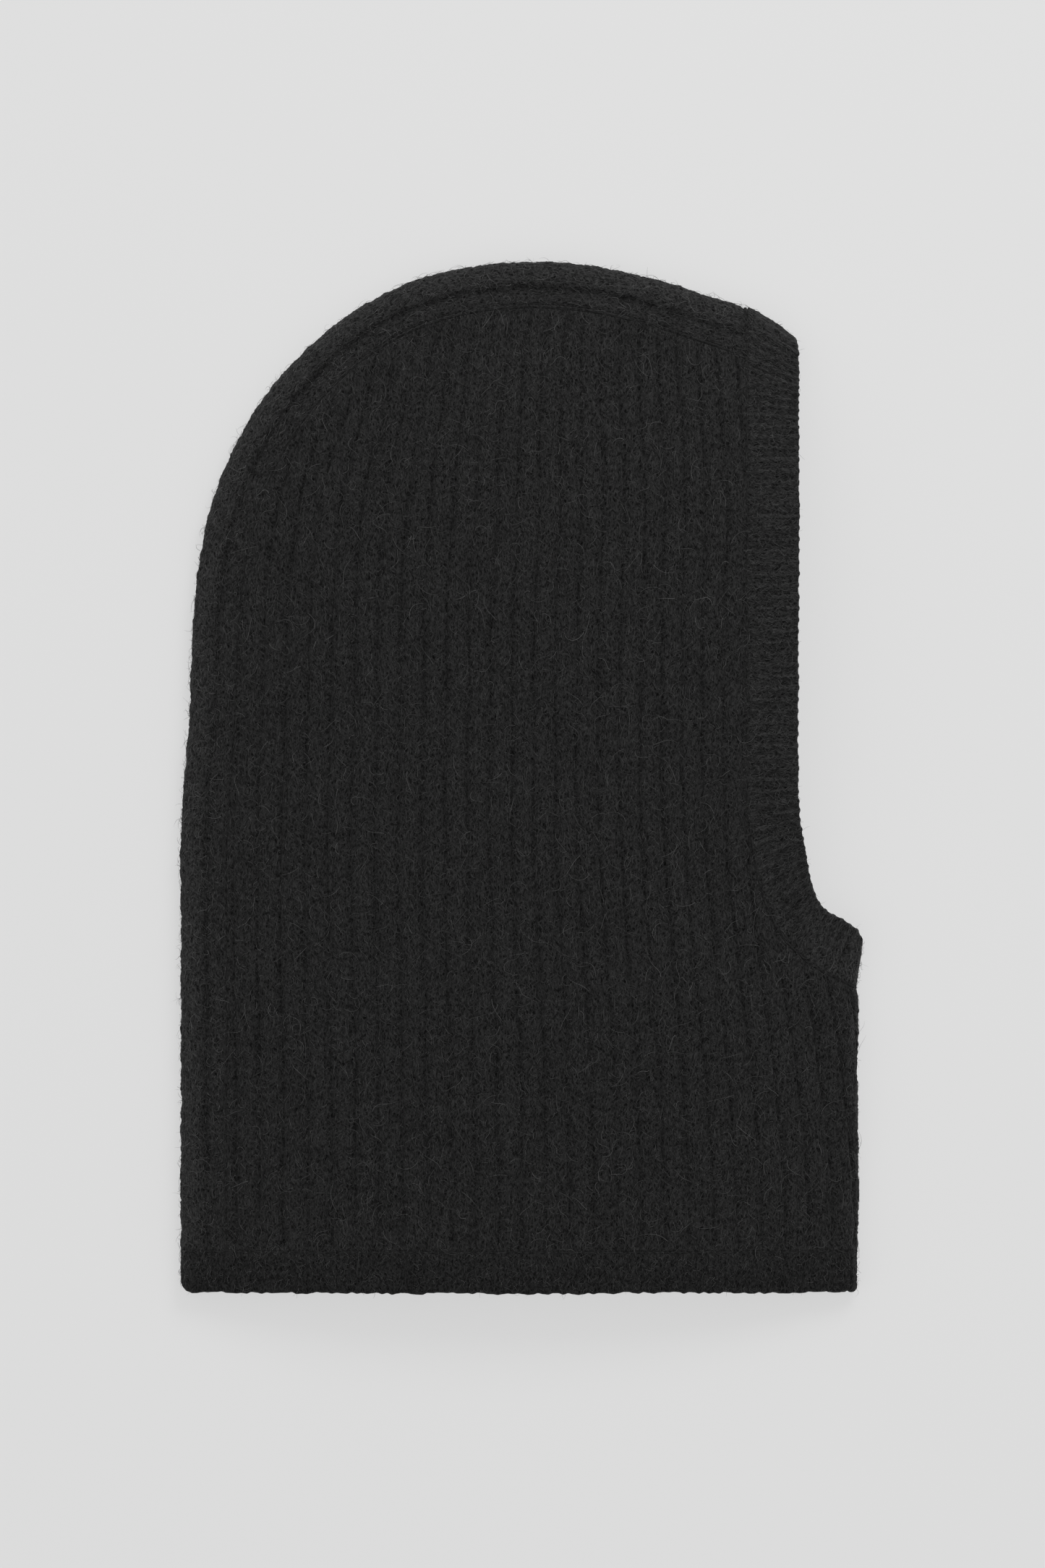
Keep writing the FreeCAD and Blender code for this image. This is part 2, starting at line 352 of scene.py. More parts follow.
def make_mesh(name, points, faces, uv, groove):
    """A mesh in metres, with the knit's own coordinates as its UV map and the groove attribute of
    painted shade and highlight.
    """
    me = bpy.data.meshes.new(name)
    me.vertices.add(len(points))
    me.vertices.foreach_set("co", (np.asarray(points) * MM).astype(np.float32).ravel())
    sizes = [len(f[0]) * np.ones(len(f), int) for f in faces]
    loops = np.concatenate([np.asarray(f).ravel() for f in faces])
    sizes = np.concatenate(sizes)
    me.loops.add(len(loops))
    me.loops.foreach_set("vertex_index", loops.astype(np.int32))
    me.polygons.add(len(sizes))
    starts = np.concatenate([[0], sizes.cumsum()[:-1]])
    me.polygons.foreach_set("loop_start", starts.astype(np.int32))
    me.update(calc_edges=True)
    me.validate()
    me.polygons.foreach_set("use_smooth", np.full(len(me.polygons), True))
    vertex = np.zeros(len(me.loops), np.int32)
    me.loops.foreach_get("vertex_index", vertex)
    layer = me.uv_layers.new(name="Knit")
    layer.data.foreach_set("uv", np.asarray(uv, np.float32)[vertex].ravel())
    shade = me.attributes.new("groove", "FLOAT", "POINT")
    shade.data.foreach_set("value", np.asarray(groove, np.float32))
    piece = bpy.data.objects.new(name, me)
    bpy.context.collection.objects.link(piece)
    return piece


def normals_of(grid):
    """Unit normals of a grid of points, by differences along its two ways."""
    a, b = np.gradient(grid, axis=0), np.gradient(grid, axis=1)
    n = np.cross(a, b)
    return n / np.maximum(np.linalg.norm(n, axis=2), 1e-9)[..., None]


def quads(ids):
    """Faces of a grid of vertex numbers."""
    corners = [ids[:-1, :-1], ids[1:, :-1], ids[1:, 1:], ids[:-1, 1:]]
    return np.stack(corners, axis=-1).reshape(-1, 4)


def closed_sheet(name, outer, inner, uv, groove):
    """A shell between two grids of the same size, closed round its border."""
    m, n = outer.shape[:2]
    top = np.arange(m * n).reshape(m, n)
    low = top + m * n
    rim = np.concatenate([top[:-1, 0], top[-1, :-1], top[:0:-1, -1], top[0, :0:-1]])
    after = np.roll(rim, -1)
    wall = np.stack([after, rim, rim + m * n, after + m * n], axis=1)
    faces = [quads(top), quads(low)[:, ::-1], wall]
    points = np.concatenate([outer.reshape(-1, 3), inner.reshape(-1, 3)])
    uv = np.concatenate([uv.reshape(-1, 2)] * 2)
    return make_mesh(name, points, faces, uv, np.concatenate([groove.ravel()] * 2))


def swept(name, rings, uv, groove, closed=False):
    """A tube through rings of points: rings[i, j] is point j of ring i; its ends are capped."""
    m, n = rings.shape[:2]
    ids = np.arange(m * n).reshape(m, n)
    ids = np.concatenate([ids, ids[:, :1]], axis=1)
    points, uv, groove = rings.reshape(-1, 3), uv.reshape(-1, 2), groove.ravel()
    if closed:
        return make_mesh(name, points, [quads(np.concatenate([ids, ids[:1]]))], uv, groove)
    hubs = rings[[0, -1]].mean(1)
    first, last = m * n, m * n + 1
    start = np.stack([ids[0, 1:], ids[0, :-1], np.full(n, first)][::-1], axis=1)
    end = np.stack([ids[-1, :-1], ids[-1, 1:], np.full(n, last)][::-1], axis=1)
    faces = [quads(ids), start, end]
    points = np.concatenate([points, hubs])
    uv = np.concatenate([uv, uv[:1], uv[-1:]])
    return make_mesh(name, points, faces, uv, np.concatenate([groove, [0, 0]]))


def face_outwards(piece):
    """Turns the faces out, if the closed mesh's volume came out negative."""
    me = piece.data
    me.calc_loop_triangles()
    tri = np.zeros(len(me.loop_triangles) * 3, np.int32)
    me.loop_triangles.foreach_get("vertices", tri)
    co = np.zeros(len(me.vertices) * 3, np.float32)
    me.vertices.foreach_get("co", co)
    a, b, c = co.reshape(-1, 3)[tri.reshape(-1, 3)].astype(float).transpose(1, 0, 2)
    if (a * np.cross(b, c)).sum() < 0:
        me.flip_normals()
        me.update()
    return piece


# ------------------------ side panels

def front_roll(m, upper):
    """x and height of a panel's cloth at m across, rolled round the front neck fold."""
    flat_to = FRONT_X - FOLD_R
    angle = np.clip((m - flat_to) / FOLD_R, 0, math.pi / 2)
    x = np.where(m < flat_to, m, flat_to + FOLD_R * np.sin(angle))
    z = FOLD_R * np.cos(angle)
    return x, MID_Z + z if upper else MID_Z - z


CLIMB = 275  # length of the crown line that still climbs
PANEL_TALL = 342  # from the hem's seam to just past the crown
PANEL_FOOT = HEM_TOP_Y + SEAM_W
EDGE_REACH = 9  # from here on inwards a seam no longer draws the cloth down


def rib_number(x, y):
    """Which rib of a side panel a point is on; grooves are at whole numbers.

    The ribs stand straight on the hem. Above it they lean back a little more the nearer they
    are to the face, and beside the crown they lean over with the back of the head.
    """
    climb = crown_line[: int(CLIMB / PATH_STEP)]
    edge = np.interp(y, climb[:, 1], climb[:, 0])
    over = np.minimum(edge - BACK_X, 26) * np.exp(-((np.maximum(x - edge, 0) / 60) ** 1.3))
    back = 1.5 + 13 * (np.maximum(x + 80, 0) / 150) ** 1.9
    back = back * smooth(y, -160, 5) + 4 * smooth(x, -20, 60) * smooth(y, 105, 165)
    middle = smooth(x, -60, -10)
    first = 3.2 + middle * (0.9 * smooth(y, -125, -90) + 1.5 * hill(y - 95, 25))
    return (x - over + back - first - (BACK_X + STRIP_W)) / RIB


def panel(name, upper, step_x, step_y, seed):
    """A side panel as a fine outer grid and an inner grid of twice the spacing, masked alike.

    Also gives back the outer points and their normals, as places for fibres to start.
    """
    lo_x, hi_x = BACK_X + STRIP_W - 2, FRONT_X - FOLD_R + QUARTER
    sides = ((hi_x - lo_x, step_x), (PANEL_TALL, step_y))
    nx, ny = [int(side / step / 2) * 2 + 1 for side, step in sides]
    m = np.linspace(lo_x, hi_x, nx)[:, None] * np.ones((1, ny))
    y = np.linspace(PANEL_FOOT, PANEL_FOOT + PANEL_TALL, ny)[None, :] * np.ones((nx, 1))
    x, _ = front_roll(m, upper)
    room = np.minimum(from_back(x, y) - STRIP_W, from_seam(x, y) - SEAM_W / 2)

    # coarse cells that lie inside, and border vertices pulled onto the border
    cell = room[1::2, 1::2] > 0
    full = np.repeat(np.repeat(cell, 2, 0), 2, 1)
    around = np.zeros((nx, ny), int)  # how many cells that are used touch each vertex
    for i, j in ((0, 0), (1, 0), (0, 1), (1, 1)):
        around[i : nx - 1 + i, j : ny - 1 + j] += full
    used = around > 0
    grad_x, grad_y = np.gradient(room, m[:, 0], y[0])
    border = used & (around < 4) & (np.abs(room) < 3 * max(step_x, step_y))
    pull = np.where(border, room, 0)
    m, y = m - pull * grad_x, y - pull * grad_y
    x, z = front_roll(m, upper)
    room = np.where(border, 0, room)

    base = np.stack([x, y, z + (loft(x, y) if upper else 0)], axis=-1)
    normal = normals_of(base) * (1 if upper else -1)
    rib, groove = wide_rib(rib_number(m, y), y, seed)
    near_edge = np.minimum(room, y - HEM_TOP_Y - SEAM_W)
    sink = hill(np.clip(near_edge, 0, EDGE_REACH), 1.3)
    on_crown = smooth(y, CROWN_FROM, CROWN_TO)
    above_hem = smooth(y, HEM_TOP_Y + 3, HEM_TOP_Y + 8)  # just above the hem nothing pulls
    at_strip = from_back(x, y) - STRIP_W < from_seam(x, y) - SEAM_W / 2
    drop = np.where(at_strip, 0.05 + 0.3 * on_crown, 0.35) * above_hem
    relief = (rib + brushed(m, y, seed)) * (1 - sink) - drop * sink
    if not upper:
        relief = pressed(relief, 0, 0.4)
    outer = base + normal * relief[..., None]
    coarse = np.s_[::2, ::2]
    under = -CLOTH + INNER_GAP - 0.35 * groove[coarse] - 0.2 * brushed(m, y, seed + 40)[coarse]
    inner = base[coarse] + normal[coarse] * under[..., None]
    # painted shade along the seams, where the cloth dips, added to the painted shade in the
    # grooves
    deep = np.where(at_strip, 0.15 + 0.55 * on_crown, 0.7) * above_hem
    seam_shade = (0.1 + deep) * uneven(0 * m, m + y, seed + 3)
    groove = np.clip(groove * (1 - sink) + sink * seam_shade, 0, 1)

    # vertex numbers, outer then inner
    number = np.full((nx, ny), -1)
    number[used] = np.arange(used.sum())
    used_low = used[coarse]
    low = np.full(used_low.shape, -1)
    low[used_low] = used.sum() + np.arange(used_low.sum())
    corners = np.stack([number[:-1, :-1], number[1:, :-1], number[1:, 1:], number[:-1, 1:]], -1)
    top = corners[full]
    under_corners = np.stack([low[:-1, :-1], low[:-1, 1:], low[1:, 1:], low[1:, :-1]], -1)
    bottom = under_corners[cell]
    faces = [top, bottom] + panel_walls(cell, number, low)
    points = np.concatenate([outer[used], inner[used_low]])
    uv = np.stack([m, y], -1)
    uv = np.concatenate([uv[used], uv[coarse][used_low]])
    shade = np.concatenate([groove[used], groove[coarse][used_low]])
    piece = face_outwards(make_mesh(name, points, faces, uv, shade))
    return piece, (outer[used], normal[used])


def panel_walls(cell, number, low):
    """Triangles from the fine outer rim to the coarse inner rim, round every border cell."""
    padded = np.pad(cell, 1)
    walls = []
    sides = [
        (padded[:-2, 1:-1], (0, 0), (0, 1)),
        (padded[2:, 1:-1], (1, 1), (1, 0)),
        (padded[1:-1, :-2], (1, 0), (0, 0)),
        (padded[1:-1, 2:], (0, 1), (1, 1)),
    ]
    for beside, a, b in sides:
        i, j = np.nonzero(cell & ~beside)
        low_a, low_b = low[i + a[0], j + a[1]], low[i + b[0], j + b[1]]
        top_a = number[2 * (i + a[0]), 2 * (j + a[1])]
        top_b = number[2 * (i + b[0]), 2 * (j + b[1])]
        mid = number[2 * i + a[0] + b[0], 2 * j + a[1] + b[1]]
        walls += [
            np.stack([top_a, mid, low_a], 1),
            np.stack([mid, top_b, low_b], 1),
            np.stack([mid, low_b, low_a], 1),
        ]
    return walls


# ------------------------ centre strip

def folded(point, inward, s, lift=True):
    """Base point and outward normal at cloth distance s from a fold, over it where s > 0."""
    angle = np.clip(np.abs(s) / FOLD_R, 0, math.pi / 2)
    d = FOLD_R * (1 - np.cos(angle)) + np.maximum(np.abs(s) - QUARTER, 0)
    way = np.where(s >= 0, 1.0, -1.0)
    xy = point + inward * d[..., None]
    z = MID_Z + way * FOLD_R * np.sin(angle)
    if lift:
        z = z + np.where(s > 0, loft(xy[..., 0], xy[..., 1]), 0)
    level, upright = -inward * np.cos(angle)[..., None], (way * np.sin(angle))[..., None]
    return np.concatenate([xy, z[..., None]], -1), np.concatenate([level, upright], -1)


STRIP_START = BELOW_HEM + HEM_TOP_Y + SEAM_W - HEM_Y  # lengths along the back path


def centre_strip(name, seed):
    """The strip from the hem up the back and over the crown, folded along its middle."""
    half = STRIP_W - SEAM_W - FOLD_R + QUARTER
    across = np.linspace(-half, half, 91)
    tries = np.linspace(BACK.length - 130, BACK.length, 400)
    ends = []
    for w in across:
        p, _ = folded(BACK.at(tries), BACK.at(tries, BACK.n), np.full(len(tries), w), lift=False)
        room = from_seam(p[:, 0], p[:, 1]) - SEAM_W / 2
        ends.append(np.interp(0, -room, tries))
    share = np.linspace(0, 1, 760)[:, None]
    v = STRIP_START + share * (np.array(ends)[None, :] - STRIP_START)
    w = across[None, :] * np.ones_like(v)
    base, normal = folded(BACK.at(v), BACK.at(v, BACK.n), w)
    off = np.abs(np.abs(w) - STRIP_GROOVE + 0.4 * noise(v, np.sign(w), 9, 1, seed + 8))
    groove = hill(off, 1.3) * uneven(np.sign(w), v, seed + 9)
    groove = groove * (0.7 + 0.3 * smooth(base[..., 1], 95, 160))
    rib = stitches(w / STRIP_RIB * WALES, v, 0.2) - 0.8 * groove
    near_edge = np.minimum(half - np.abs(w), np.minimum(v - STRIP_START, v[-1:] - v))
    sink = hill(np.clip(near_edge, 0, EDGE_REACH), 1.2)
    on_crown = smooth(base[..., 1], CROWN_FROM, CROWN_TO)
    ragged = 0.3 * noise(v, w, 2.6, 9, seed + 12) * (1 - smooth(np.abs(w), 2, 5))
    relief = (rib + ragged + brushed(w, v, seed)) * (1 - sink) - (0.05 + 0.3 * on_crown) * sink
    outer = base + normal * pressed(relief, base[..., 2], 0.4)[..., None]
    inner = base - normal * (CLOTH - INNER_GAP)
    seam_shade = (0.15 + 0.55 * on_crown) * uneven(0 * v, v, seed + 3)
    painted_shade_off_rim = 0.43 * smooth(np.abs(w), 6, 12)  # painted highlight: the fold's rim is paler, as if it caught the light
    # painted shade in the groove and along the seams, with the rim left as a painted highlight
    groove = np.clip(painted_shade_off_rim + groove * (1 - sink) * 0.8 + sink * seam_shade, 0, 1)
    piece = face_outwards(closed_sheet(name, outer, inner, np.stack([w, v], -1), groove))
    return piece, (outer.reshape(-1, 3), normal.reshape(-1, 3))


# ------------------------ face band

def band_line(travel, across):
    """Point on the band's plan, travel mm from the forehead, across from 0, seam, to 1, edge."""
    straight = np.minimum(travel, BAND_TURN)
    bend = np.clip((travel - BAND_TURN) / (BAND_LENGTH - BAND_TURN), 0, 1)
    seam_s = SEAM_TOP + straight + bend * (SEAM_END - SEAM_TURN)
    square = BAND_DROP * smooth(straight, 0, 50)  # the wales come square to the edge
    edge_s = straight - square + bend * (EDGE.length - EDGE_TURN)
    a, b = SEAM.at(seam_s), EDGE.at(edge_s)
    return a + (b - a) * across[..., None]


def length_to(path, y):
    """Length along a path that runs down, to where it passes y."""
    return float(np.interp(-y, -path.p[:, 1], path.s))


SEAM_TOP_Y = 169.2
SEAM_TOP = length_to(SEAM, SEAM_TOP_Y)
SEAM_TURN = length_to(SEAM, TURN_Y)
SEAM_END = length_to(SEAM, CHIN_END_Y)
EDGE_TURN = length_to(EDGE, TURN_Y)
BAND_DROP = SEAM_TOP_Y - FOREHEAD[1]  # how much lower the band's edge starts than its seam
BAND_TURN = SEAM_TURN - SEAM_TOP
BAND_LENGTH = BAND_TURN + (SEAM_END - SEAM_TURN + EDGE.length - EDGE_TURN) / 2


def band_point(s, across):
    """Base point and normal on the band's ring, at cloth distance s from its forehead fold."""
    back = BAND_HALF - np.abs(s)  # cloth distance from the chin join
    way = np.where(s >= 0, 1.0, -1.0)
    a1 = np.clip(np.abs(s) / FOLD_R, 0, math.pi / 2)
    a2 = np.clip(back / FOLD_R, 0, math.pi / 2)
    d1 = FOLD_R * (1 - np.cos(a1)) + np.maximum(np.abs(s) - QUARTER, 0)
    d2 = FOLD_R * (1 - np.cos(a2))
    travel = np.where(back < QUARTER, BAND_LENGTH - d2, d1)
    xy = band_line(np.clip(travel, 0, BAND_LENGTH), across)
    up = np.minimum(np.sin(a1), np.sin(a2))
    z = MID_Z + way * FOLD_R * up
    lift = loft(xy[..., 0], xy[..., 1])
    z = z + np.where(s > 0, lift, 0) * smooth(np.minimum(np.abs(s), back), 0, QUARTER)
    near_forehead = (np.abs(s) < BAND_HALF / 2)[..., None]
    out = np.where(near_forehead, np.array(FOREHEAD_OUT), np.array(CHIN_OUT))
    side = np.sqrt(np.clip(1 - up**2, 0, 1))
    normal = np.concatenate([out * side[..., None], (way * up)[..., None]], -1)
    return np.concatenate([xy, z[..., None]], -1), normal


BAND_HALF = BAND_LENGTH - 2 * FOLD_R + 2 * QUARTER


def section(width, outer_count, inner_count, thick):
    """A band's closed section: out along its face, round its free edge, and back inside.

    Each point is (across, depth, weight), the weight being 1 on the face and 0 inside.
    """
    r = thick / 2
    flat = width - r
    out = [(flat * i / outer_count, 0.0, 1.0) for i in range(outer_count)]
    turns = 8
    turn = [
        (flat + r * math.sin(a), -r + r * math.cos(a), 1.0 - i / turns)
        for i, a in enumerate(np.linspace(0, math.pi, turns + 1))
    ]
    home = [(flat * (1 - i / inner_count), -thick, 0.0) for i in range(1, inner_count + 1)]
    wall = [(0.0, -thick * k / 3, 0.3) for k in (2, 1)]
    return np.array(out + turn + home + wall)


def spread(profile, ring):
    """A section's three values and the ring's one, each as a grid of ring by section."""
    across, depth, weight = [np.tile(profile[:, k], (len(ring), 1)) for k in range(3)]
    return np.tile(ring[:, None], (1, len(profile))), across, depth, weight


def band_rings(base, normal, depth, relief, weight):
    """A band's surface: relief on its face, and a fainter one inside."""
    relief = np.where(weight > 0.5, relief, -relief * 0.4)
    relief = pressed(relief, base[..., 2])
    return base + normal * (depth + relief * np.abs(2 * weight - 1))[..., None]


def face_band(name, seed):
    """The doubled 1x1 rib band: a section swept from the chin join round the forehead and back."""
    gap = 0.45 / BAND_HALF  # half the slot for the join's seam, as a share
    ring = np.linspace(-BAND_HALF * (1 - gap), BAND_HALF * (1 - gap), 1500)
    s, across, depth, weight = spread(section(BAND_W, 34, 12, CLOTH + 0.3), ring)
    rib, groove = fine_rib(s, across, BAND_RIB, seed, 0.6)
    rib = rib + 0.55 * brushed(across, s, seed)
    sink = hill(across, 1.1) * weight
    scallop = 0.55 * (0.5 - groove) + 0.25 * noise(s, across, 5, 40, seed + 5)
    reach = (across + scallop * smooth(across, 14, BAND_W)) / BAND_W
    reach = SEAM_W / 2 / BAND_W + reach * (1 - SEAM_W / 2 / BAND_W)
    base, normal = band_point(s, reach)
    relief = rib * (1 - sink) - 0.3 * sink
    relief = relief + 0.8 * hill(s, 7) * (1 - smooth(across, 9, 17))  # puffed at the forehead
    rings = band_rings(base, normal, depth, relief, weight)
    # painted highlight at the forehead and chin corners, painted shade in the grooves and along
    # the seam
    corner = hill(s, 22) + hill(BAND_HALF - np.abs(s), 22)
    shade = np.clip(0.25 * (1 - corner) + groove * 0.75 * (1 - sink) + sink * 0.3, 0, 1)
    piece = face_outwards(swept(name, rings, np.stack([s, across], -1), shade))
    seen = weight > 0.9
    return piece, (rings[seen], normal[seen])


# ------------------------ hem band

HEM_LENGTH = 2 * (FRONT_X - BACK_X - 2 * FOLD_R + 2 * QUARTER)


def hem_ring(s, y):
    """Base point and normal on the ring of the hem; s runs from the back fold over the top."""
    half = HEM_LENGTH / 2
    t = np.mod(s, HEM_LENGTH)
    over = t < half
    u = np.where(over, t, HEM_LENGTH - t)  # cloth distance from the back fold
    near_back, near_front = u, half - u
    a = np.clip(np.minimum(near_back, near_front) / FOLD_R, 0, math.pi / 2)
    d = FOLD_R * (1 - np.cos(a)) + np.maximum(np.minimum(near_back, near_front) - QUARTER, 0)
    x = np.where(near_back < near_front, BACK_X + d, FRONT_X - d)
    way = np.where(over, 1.0, -1.0)
    z = MID_Z + way * FOLD_R * np.sin(a) + np.where(over, loft(x, y), 0)
    out = np.where(near_back < near_front, -1.0, 1.0) * np.cos(a)
    normal = np.stack([out, np.zeros_like(out), way * np.sin(a)], -1)
    return np.stack([x, y + 0 * x, z], -1), normal


def hem_band(name, seed):
    """The finer rib band round the neck's opening: a section swept once round."""
    width = HEM_TOP_Y - HEM_Y
    count = 1180
    ring = np.arange(count) / count * HEM_LENGTH
    s, across, depth, weight = spread(section(width, 30, 10, CLOTH), ring)
    rib, groove = fine_rib(s, across, HEM_RIB, seed, 0.4, lined=0.0)
    rib = rib + 0.7 * brushed(s, across, seed)
    sink = hill(across, 1.0) * weight
    wave = 0.25 * noise(s, across, 22, 60, seed + 5) + 0.40 * noise(s, across, 1.8, 60, seed + 6)
    tuck = 2.2 * hill(np.minimum(s, HEM_LENGTH - s), 2.6)  # the rounded back corner
    y = HEM_TOP_Y - across + (0.9 + tuck - wave) * smooth(across, 6, width)
    base, normal = hem_ring(s, y)
    relief = rib * (1 - sink) - 0.05 * sink
    rings = band_rings(base, normal, depth, relief, weight)
    # painted shade: darker towards the hem's free edge, as the light falls off there, and in the
    # grooves
    shade = np.clip(0.4 * smooth(across, 0, 12) + groove * 0.9 * (1 - sink) + sink * 0.05, 0, 1)
    piece = face_outwards(swept(name, rings, np.stack([s, across], -1), shade, closed=True))
    seen = weight > 0.9
    return piece, (rings[seen], normal[seen])


# ------------------------ seams

def yarn(name, centre, normal, radius=0.62, twist=2.6, closed=False):
    """A two-ply yarn along a line of points, its plies turning once every twist."""
    step = np.linalg.norm(np.diff(centre, axis=0), axis=1)
    s = np.concatenate([[0], step.cumsum()])
    tangent = np.gradient(centre, axis=0)
    tangent /= np.linalg.norm(tangent, axis=1)[:, None]
    side = np.cross(tangent, normal)
    side /= np.linalg.norm(side, axis=1)[:, None]
    up = np.cross(side, tangent)
    angle = np.linspace(0, 2 * math.pi, 12, endpoint=False)
    ply = math.pi * s[:, None] / twist
    fat = radius * (0.82 + 0.26 * np.abs(np.cos(angle[None, :] - ply)))
    rings = centre[:, None] + fat[..., None] * (
        np.cos(angle)[None, :, None] * side[:, None] + np.sin(angle)[None, :, None] * up[:, None]
    )
    round_it, along_it = np.broadcast_arrays(angle[None, :], s[:, None])
    # painted shade between the plies
    between = np.broadcast_to(np.abs(np.sin(ply)), fat.shape)
    uv = np.stack([round_it, along_it], -1)
    return face_outwards(swept(name, rings, uv, between, closed=closed))


def crown_seam(name, upper):
    """The yarn between the strip and a side panel, cut off where the face band's seam begins."""
    half = STRIP_W - SEAM_W / 2 - FOLD_R + QUARTER
    tries = np.linspace(STRIP_START, BACK.length, 1500)
    w = np.full(len(tries), half if upper else -half)
    p, n = folded(BACK.at(tries), BACK.at(tries, BACK.n), w)
    keep = from_seam(p[:, 0], p[:, 1]) > 0.2
    p, n = p[keep], n[keep]
    sink = 0.55 + 0.1 * smooth(p[:, 1], 40, 130) if upper else np.full(len(p), FLOOR_SINK)
    return yarn(name, p - n * sink[:, None], n, radius=0.68)


def band_seam(name):
    """The yarn between the face band and the rest of the hood, from the chin and back to it."""
    s = np.linspace(-BAND_HALF * 0.998, BAND_HALF * 0.998, 1300)
    p, n = band_point(s, np.zeros_like(s))
    sink = np.where(p[:, 2] < 2, FLOOR_SINK, 0.8)
    return yarn(name, p - n * sink[:, None], n)


def hem_seam(name):
    """The yarn all round between the hem band and the panels and strip."""
    count = 1200
    s = np.arange(count) / count * HEM_LENGTH
    p, n = hem_ring(s, np.full(count, HEM_TOP_Y + SEAM_W / 2))
    sink = np.where(p[:, 2] < 2, FLOOR_SINK, 0.55)
    return yarn(name, p - n * sink[:, None], n, radius=0.68, closed=True)


def straight_seam(name, a, b, out):
    """A yarn sunk in a fold, from point a to point b, where out is the way the fold faces."""
    count, sink = 200, 1.3
    share = np.linspace(0, 1, count)[:, None]
    centre = np.array(a) * (1 - share) + np.array(b) * share
    n = np.tile(np.array(out, float), (count, 1))
    return yarn(name, centre - n * sink, n, radius=0.8)


# ------------------------ care label

def care_label(name):
    """A blank tape that lies on the lower layer inside the neck, with a soft free end."""
    u, v = np.meshgrid(np.linspace(0, 1, 41), np.linspace(0, 1, 61), indexing="ij")
    size = label_high - label_low
    x, y = label_low[0] + u * size[0], label_low[1] + v * size[1]
    bend = 0.5 * v**2 * (1 + 0.6 * np.sin(2.4 * u + 0.5))
    weave = 0.03 * np.cos(2 * math.pi * x / 0.9) * np.cos(2 * math.pi * y / 0.9)
    outer = np.stack([x, y, label_low[2] + 0.55 + bend + weave], -1)
    inner = np.stack([x, y, label_low[2] + 0.05 + bend], -1)
    return face_outwards(closed_sheet(name, outer, inner, np.stack([x, y], -1), 0 * x))


def label_stitches(name):
    """Five short stitches of thread across the foot of the label, as one piece."""
    low, high = cad_limits("label_tack_stitches")
    bars = []
    count = 5
    share = np.linspace(0, 1, 24)
    for i in range(count):
        x = low[0] + (high[0] - low[0]) * (i + 0.1 + 0.8 * share) / count
        arch = 0.14 * np.sin(math.pi * share) - 0.05
        y = np.full(len(share), (low[1] + high[1]) / 2)
        centre = np.stack([x, y, low[2] + 0.12 + arch], -1)
        up = np.tile([0.0, 0.0, 1.0], (len(share), 1))
        bars.append(yarn(f"{name}_{i}", centre, up, radius=0.2, twist=0.8))
    first = bars[0]
    with bpy.context.temp_override(active_object=first, selected_editable_objects=bars):
        bpy.ops.object.join()
    first.name = name
    return first


# ------------------------ loose fibres

